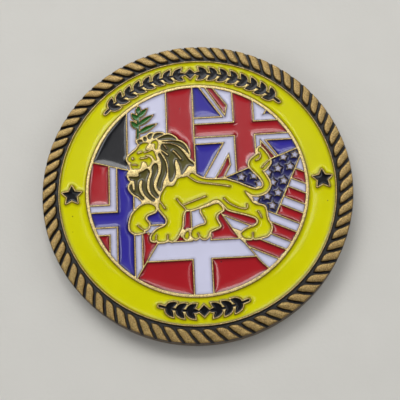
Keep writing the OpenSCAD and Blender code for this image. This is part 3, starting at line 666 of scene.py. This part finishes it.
class Nodes:
    """A short way to write a material's node tree."""

    def __init__(self, name):
        self.material = bpy.data.materials.new(name)
        self.material.use_nodes = True
        self.tree = self.material.node_tree
        self.shader = self.tree.nodes["Principled BSDF"]
        self.place = self.make("ShaderNodeTexCoord").outputs["Object"]

    def make(self, kind, **settings):
        node = self.tree.nodes.new(kind)
        for key, value in settings.items():
            setattr(node, key, value)
        return node

    def link(self, source, socket):
        self.tree.links.new(source, socket)

    def value(self, name):
        """A point value of the mesh."""
        return self.make("ShaderNodeAttribute", attribute_name=name).outputs["Fac"]

    def noise(self, size, detail=2.0, rough=0.5):
        """Noise from 0 to 1 whose bumps are about this many millimetres across."""
        node = self.make("ShaderNodeTexNoise")
        self.link(self.place, node.inputs["Vector"])
        node.inputs["Scale"].default_value = 1 / (size * MM)
        node.inputs["Detail"].default_value = detail
        node.inputs["Roughness"].default_value = rough
        return node.outputs["Fac"]

    def spots(self, gap, size):
        """1 in small spots scattered about this far apart, 0 elsewhere."""
        node = self.make("ShaderNodeTexVoronoi")
        self.link(self.place, node.inputs["Vector"])
        node.inputs["Scale"].default_value = 1 / (gap * MM)
        return self.ramp(node.outputs["Distance"], [(size / gap * 0.7, 1.0), (size / gap, 0.0)])

    def ramp(self, source, stops):
        """A smooth curve through (position, value or colour) stops."""
        node = self.make("ShaderNodeValToRGB")
        self.link(source, node.inputs["Fac"])
        stripes = node.color_ramp.elements
        while len(stripes) < len(stops):
            stripes.new(0.5)
        for stripe, (position, shade) in zip(stripes, stops):
            stripe.position = position
            stripe.color = (*shade, 1) if isinstance(shade, tuple) else (shade, shade, shade, 1)
        return node.outputs["Color"]

    def math(self, how, a, b):
        node = self.make("ShaderNodeMath", operation=how)
        for socket, item in zip(node.inputs, (a, b)):
            if isinstance(item, (int, float)):
                socket.default_value = item
            else:
                self.link(item, socket)
        return node.outputs[0]

    def mix(self, how, amount, a, b):
        """Two colours blended. The amount and the colours are sockets or constants."""
        node = self.make("ShaderNodeMix", data_type="RGBA", blend_type=how)
        for socket, item in zip((node.inputs[0], node.inputs[6], node.inputs[7]), (amount, a, b)):
            if isinstance(item, tuple):
                socket.default_value = (*item, 1)
            elif isinstance(item, (int, float)):
                socket.default_value = item
            else:
                self.link(item, socket)
        return node.outputs[2]

    def bump(self, parts):
        """Bumps from (height, depth in millimetres) pairs."""
        normal = None
        for height, depth in parts:
            node = self.make("ShaderNodeBump")
            node.inputs["Distance"].default_value = depth * MM
            self.link(height, node.inputs["Height"])
            if normal:
                self.link(normal, node.inputs["Normal"])
            normal = node.outputs["Normal"]
        self.link(normal, self.shader.inputs["Normal"])


def linear(*screen):
    """A colour given as it looks on screen, 0 to 255, in the renderer's own values."""
    return tuple(((c / 255 + 0.055) / 1.055) ** 2.4 if c > 10 else c / 255 / 12.92 for c in screen)


# Tarnish and painted crease shade: the dark rim where the enamel meets the metal.
TARNISH_AND_SHADE = linear(38, 27, 12)
# By the distance from a cell's border: how much of the painted border shade shows, and of the dark rim
# of tarnish and painted crease shade.
BORDER_SHADE_FADE = [(0.0, 1.0), (0.1, 0.8), (0.24, 0.36), (0.5, 0.0)]
TARNISH_AND_SHADE_FADE = [(0.0, 0.85), (0.055, 0.0)]
FLECK_GAP = 2.3
FLECK_SIZE = 0.12
PIT_SIZE = 0.09


def enamel(colour, middle, border, fleck, specular, roughness=0.1, pits=0.01):
    """Glossy baked enamel with painted shade where it climbs the metal and a dark rim of tarnish and
    painted crease shade against it, with dust flecks and pits.
    """
    m = Nodes(colour + "_enamel_gloss")
    wander = m.math("MULTIPLY", m.math("SUBTRACT", m.noise(0.35, 3), 0.5), 0.12)
    away = m.math("ADD", m.value("border"), wander)
    near = m.ramp(away, BORDER_SHADE_FADE)
    duller = tuple(c * 0.93 for c in middle)
    brighter = tuple(min(1, c * 1.06) for c in middle)
    body = m.mix("MIX", m.noise(3.5), duller, brighter)
    # Painted shade: the border colour darkens the enamel towards the walls, then the painted rim of
    # crease shade and tarnish follows.
    shade = m.mix("MIX", near, body, border)
    shade = m.mix("MIX", m.ramp(away, TARNISH_AND_SHADE_FADE), shade, TARNISH_AND_SHADE)
    dusty = m.ramp(m.noise(2.0), [(0.47, 0.0), (0.55, 0.85)])
    dust = m.math("MULTIPLY", m.spots(FLECK_GAP, FLECK_SIZE), dusty)
    m.link(m.mix("MIX", dust, shade, fleck), m.shader.inputs["Base Color"])
    gloss = m.math("MULTIPLY_ADD", m.noise(0.9, 3), 0.1)
    gloss.node.inputs[2].default_value = roughness - 0.04
    m.link(gloss, m.shader.inputs["Roughness"])
    m.shader.inputs["Specular IOR Level"].default_value = specular
    m.bump([(m.noise(1.1), 0.004), (m.noise(0.14), 0.0008), (m.spots(FLECK_GAP, PIT_SIZE), -pits)])
    return m.material


def bronze():
    """Antique bronze plating: bright on what is rubbed, near black in what is not, with shade painted
    in along some edges.
    """
    m = Nodes("antique_bronze")
    grain = m.noise(0.13, 4, 0.7)
    patch = m.noise(0.9, 3)
    wear = m.math("ADD", m.value("wear"), m.math("MULTIPLY", m.math("SUBTRACT", grain, 0.55), 0.9))
    rope_shade = m.ramp(wear, [
        (0.0, linear(20, 17, 15)), (0.4, linear(44, 34, 24)),
        (0.75, linear(126, 98, 54)), (0.95, linear(172, 142, 84)), (1.0, linear(196, 170, 112)),
    ])
    line_shade = m.ramp(wear, [
        (0.0, linear(34, 24, 14)), (0.5, linear(106, 80, 38)),
        (0.78, linear(196, 164, 92)), (1.0, linear(250, 230, 164)),
    ])
    shade = m.mix("MIX", m.value("line"), rope_shade, line_shade)
    tint = m.mix("MIX", patch, (1.0, 0.8, 0.76), (0.88, 1.0, 0.9))
    speck = m.ramp(m.noise(0.19, 3, 0.7), [(0.34, 0.35), (0.5, 0.8), (0.62, 1.0)])
    shade = m.mix("MULTIPLY", 0.85, m.mix("MULTIPLY", 0.5, shade, tint), speck)
    m.link(shade, m.shader.inputs["Base Color"])
    m.link(m.ramp(wear, [(0.15, 0.1), (0.6, 0.6)]), m.shader.inputs["Metallic"])
    m.link(m.ramp(grain, [(0.3, 0.34), (0.7, 0.52)]), m.shader.inputs["Roughness"])
    m.bump([(grain, 0.026), (m.noise(0.5, 3), 0.02)])
    return m.material


# Each look's colour in the middle of a cell, its painted shade at the border, the colour in its
# flecks, and its gloss.
ENAMELS = {
    "yellow": dict(
        middle=linear(217, 214, 3),
        border=linear(138, 126, 2),
        fleck=linear(90, 90, 10),
        specular=0.2,
    ),
    "black": dict(
        middle=linear(20, 20, 25),
        border=linear(6, 6, 8),
        fleck=linear(80, 80, 84),
        specular=0.6,
        pits=0.03,
    ),
    "small_black": dict(
        middle=linear(20, 20, 25),
        border=linear(6, 6, 8),
        fleck=linear(70, 70, 74),
        specular=0.25,
    ),
    "white": dict(
        middle=linear(214, 214, 238),
        border=linear(150, 146, 168),
        fleck=linear(80, 80, 100),
        specular=0.4,
    ),
    "red": dict(
        middle=linear(174, 24, 34),
        border=linear(96, 6, 12),
        fleck=linear(60, 5, 8),
        specular=0.6,
    ),
    "blue": dict(
        middle=linear(54, 46, 156),
        border=linear(18, 14, 70),
        fleck=linear(12, 10, 40),
        specular=0.5,
    ),
    "navy": dict(
        middle=linear(38, 36, 100),
        border=linear(12, 12, 42),
        fleck=linear(8, 8, 24),
        specular=0.5,
    ),
    "green": dict(
        middle=linear(36, 116, 18),
        border=linear(14, 60, 6),
        fleck=linear(10, 40, 6),
        specular=0.4,
    ),
    "olive": dict(
        middle=linear(92, 86, 38),
        border=linear(46, 40, 14),
        fleck=linear(34, 30, 12),
        specular=0.4,
    ),
}


# ---------- the studio, in metres ----------


FLOOR_HALF = 0.5


def studio_floor():
    """A plain pale floor, a little uneven in tone, that the coin lies on."""
    mesh = bpy.data.meshes.new("floor")
    half = FLOOR_HALF
    corners = [(-half, -half, 0), (half, -half, 0), (half, half, 0), (-half, half, 0)]
    mesh.from_pydata(corners, [], [(0, 1, 2, 3)])
    floor = bpy.data.objects.new("floor", mesh)
    bpy.context.scene.collection.objects.link(floor)
    m = Nodes("pale_paper")
    shade = m.mix("MIX", m.noise(6, 4), linear(214, 212, 206), linear(220, 218, 212))
    m.link(shade, m.shader.inputs["Base Color"])
    m.shader.inputs["Roughness"].default_value = 0.9
    m.shader.inputs["Specular IOR Level"].default_value = 0.1
    m.bump([(m.noise(0.5, 4), 0.02)])
    mesh.materials.append(m.material)


def area_light(name, width, depth, radiance):
    """A rectangular soft light that shines downwards, with the same brightness at any size."""
    data = bpy.data.lights.new(name, "AREA")
    data.shape = "RECTANGLE"
    data.size = width
    data.size_y = depth
    data.energy = radiance * math.pi * width * depth
    lamp = bpy.data.objects.new(name, data)
    bpy.context.scene.collection.objects.link(lamp)
    return lamp


def softbox(name, azimuth, elevation, distance, width, depth, radiance):
    """A soft light aimed at the coin. Azimuth is clockwise from +Y, in degrees."""
    a, e = math.radians(azimuth), math.radians(elevation)
    way = Vector((math.sin(a) * math.cos(e), math.cos(a) * math.cos(e), math.sin(e)))
    lamp = area_light(name, width, depth, radiance)
    lamp.location = way * distance
    lamp.rotation_mode = "QUATERNION"
    lamp.rotation_quaternion = way.to_track_quat("Z", "Y")


SKY_HEIGHT = 0.6


def skylight(name, near, far, left, right, radiance):
    """A level soft light overhead, between two distances behind the coin and two sideways."""
    lamp = area_light(name, right - left, far - near, radiance)
    lamp.location = ((left + right) / 2, (near + far) / 2, SKY_HEIGHT)


WORLD_COLOUR = (0.98, 0.99, 1.0, 1)
WORLD_STRENGTH = 0.13


def lighting():
    """Skylights behind and beside the coin, a window to its upper left and soft light all round."""
    world = bpy.data.worlds.new("studio")
    world.use_nodes = True
    background = world.node_tree.nodes["Background"]
    background.inputs["Color"].default_value = WORLD_COLOUR
    background.inputs["Strength"].default_value = WORLD_STRENGTH
    bpy.context.scene.world = world
    skylight("skylight", near=0.315, far=0.385, left=-0.3, right=0.6, radiance=4.6)
    skylight("skylight_glow", near=0.19, far=0.315, left=-0.3, right=0.6, radiance=0.5)
    skylight("right_skylight", near=0.02, far=0.3, left=0.12, right=0.19, radiance=4.6)
    skylight("left_skylight", near=0.02, far=0.3, left=-0.2, right=-0.15, radiance=2.0)
    softbox("window", -24, 46, distance=0.7, width=0.55, depth=0.3, radiance=4.6)
    softbox("left_panel", -95, 28, distance=0.7, width=0.6, depth=0.35, radiance=1.2)
    softbox("right_panel", 75, 30, distance=0.7, width=0.6, depth=0.35, radiance=1.3)
    softbox("front_panel", 180, 30, distance=0.8, width=0.8, depth=0.4, radiance=1.1)


EYE_DISTANCE = 122.5  # millimetres from the middle of the front to the eye
EYE_TILT = 0.31905  # radians off straight down, towards the viewer
EYE_SIDE = 0.1333  # radians that the tilt is turned sideways
DESIGN_TURN = math.radians(3)  # how far the design is turned in the view
FOCAL_RATIO = 2.1457  # focal length over the picture's width
SENSOR = 36.0  # millimetres
SHIFT = (0.00805, -0.0325)  # the coin's place in the picture
NEAREST = 0.01  # nothing nearer than this is drawn


def camera():
    """The camera above and in front of the coin."""
    across = Vector((math.cos(EYE_SIDE), math.sin(EYE_SIDE), 0))
    level = Vector((-math.sin(EYE_SIDE), math.cos(EYE_SIDE), 0))
    high = Vector((0, 0, 1))
    up = level * math.cos(EYE_TILT) + high * math.sin(EYE_TILT)
    towards = high * math.cos(EYE_TILT) - level * math.sin(EYE_TILT)
    right = across * math.cos(EYE_SIDE) - up * math.sin(EYE_SIDE)
    top = across * math.sin(EYE_SIDE) + up * math.cos(EYE_SIDE)
    turn = Matrix.Rotation(-DESIGN_TURN, 3, "Z")
    axes = Matrix([turn @ right, turn @ top, turn @ towards]).transposed()
    data = bpy.data.cameras.new("camera")
    data.sensor_width = SENSOR
    data.lens = FOCAL_RATIO * SENSOR
    data.shift_x, data.shift_y = SHIFT
    data.clip_start = NEAREST
    eye = bpy.data.objects.new("camera", data)
    place = axes.col[2] * EYE_DISTANCE * MM + Vector((0, 0, LINE_TOP * MM))
    eye.matrix_world = Matrix.Translation(place) @ axes.to_4x4()
    bpy.context.scene.collection.objects.link(eye)
    bpy.context.scene.camera = eye


# ---------- the coin ----------


def finish_piece(thing, node, material):
    """Gives a piece its material, puts it on the root body and hides the CAD node that it stands for.
    """
    thing.data.materials.append(material)
    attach(thing, "root")
    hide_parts(node)


SEED_STEP = 10.0  # between one fill's ripple and the next one's

camera()
studio_floor()
lighting()
outlines_of = {node: fill_outlines(node) for node in FILLS}
finish_piece(struck_blank([o for node in FILLS for o in outlines_of[node]]), BLANK, bronze())
gloss_of = {colour: enamel(colour, **shades) for colour, shades in ENAMELS.items()}
for number, node in enumerate(FILLS):
    fill = enamel_fill(node, outlines_of[node], SEED_STEP * number)
    finish_piece(fill, node, gloss_of[look_of(node)])

bpy.context.scene.view_settings.view_transform = "Standard"
